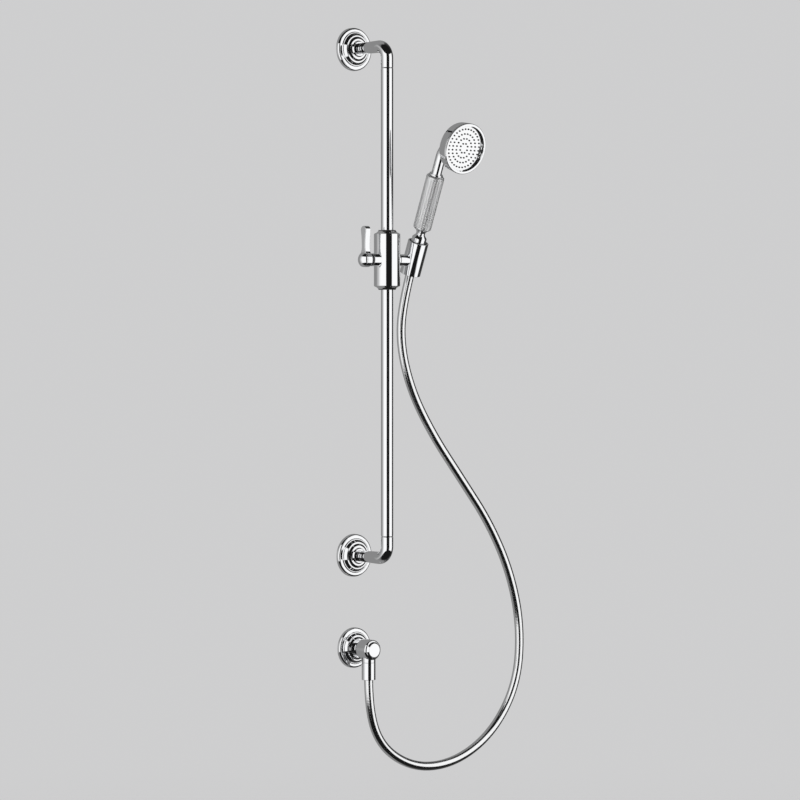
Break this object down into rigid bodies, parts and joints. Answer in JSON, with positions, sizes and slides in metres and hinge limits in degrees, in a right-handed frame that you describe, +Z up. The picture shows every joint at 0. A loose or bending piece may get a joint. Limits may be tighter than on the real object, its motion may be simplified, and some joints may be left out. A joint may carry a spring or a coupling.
{
  "type": "shower slide rail",
  "caption": "Chrome shower slide rail: round rail on stepped wall flanges, clamped slider with tilting cradle, knurled handset with round rose, and a metal hose from a wall outlet.",
  "frame": {"origin": "centre of the lower rail fixing on the wall plane", "axes": "+Z up the rail, +Y into the wall, +X to the right of someone who faces the wall"},
  "size_m": [0.3611, 0.2381, 1.1666],
  "materials": {
    "chrome": "polished chrome plate",
    "knurled_chrome": "chrome plate on a fine diamond knurl",
    "spray_face": "polished plate with drilled holes",
    "hose_metal": "close-wound polished steel",
    "raw_brass": "turned brass",
    "steel_screw": "plain steel",
    "black_plastic": "moulded acetal",
    "black_rubber": "moulded rubber"
  },
  "bodies": {
    "root": {"lower_wall_plate": "raw_brass", "upper_wall_plate": "raw_brass", "lower_flange": "chrome", "upper_flange": "chrome", "lower_flange_seal": "black_rubber", "upper_flange_seal": "black_rubber", "lower_elbow": "chrome", "upper_elbow": "chrome", "rail_tube": "chrome", "grub_screws": "steel_screw", "outlet_flange": "chrome", "outlet_body": "chrome", "outlet_cap": "chrome", "lower_hose_nut": "chrome", "lower_hose_washer": "black_rubber", "lower_hose_ferrule": "raw_brass", "hose": "hose_metal"},
    "carriage": {"upper_slide_bush": "black_plastic", "lower_slide_bush": "black_plastic"},
    "slider": {"slider_body": "chrome", "brake_pad": "black_plastic", "pivot_screw": "steel_screw", "pivot_spring": "steel_screw", "pivot_washer": "black_plastic"},
    "clamp": {"clamp_spindle": "raw_brass", "clamp_washer": "black_plastic", "clamp_lever": "chrome", "lever_cap": "chrome"},
    "holder": {"cradle": "chrome", "cradle_liner": "black_plastic", "upper_hose_nut": "chrome", "upper_hose_washer": "black_rubber", "upper_hose_ferrule": "raw_brass", "handset_stem": "chrome", "handset_grip": "knurled_chrome", "handset_head": "chrome", "rose_ring": "chrome", "spray_plate": "spray_face", "spray_seal": "black_rubber"}
  },
  "joints": [
    {"name": "slide", "type": "slide", "parent": "root", "child": "carriage", "axis": [0, 0, 1], "range_m": [-0.375, 0.245], "deforming": ["hose"]},
    {"name": "swivel", "type": "hinge", "parent": "carriage", "child": "slider", "pos_m": [0, -0.084, 0.461], "axis": [0, 0, 1], "range_deg": [-60, 45], "deforming": ["hose"]},
    {"name": "clamp_turn", "type": "hinge", "parent": "slider", "child": "clamp", "pos_m": [-0.042, -0.084, 0.461], "axis": [1, 0, 0], "range_deg": [0, 90]},
    {"name": "tilt", "type": "hinge", "parent": "slider", "child": "holder", "pos_m": [0.053, -0.084, 0.461], "axis": [1, 0, 0], "range_deg": [-25, 40], "deforming": ["hose"]}
  ]
}
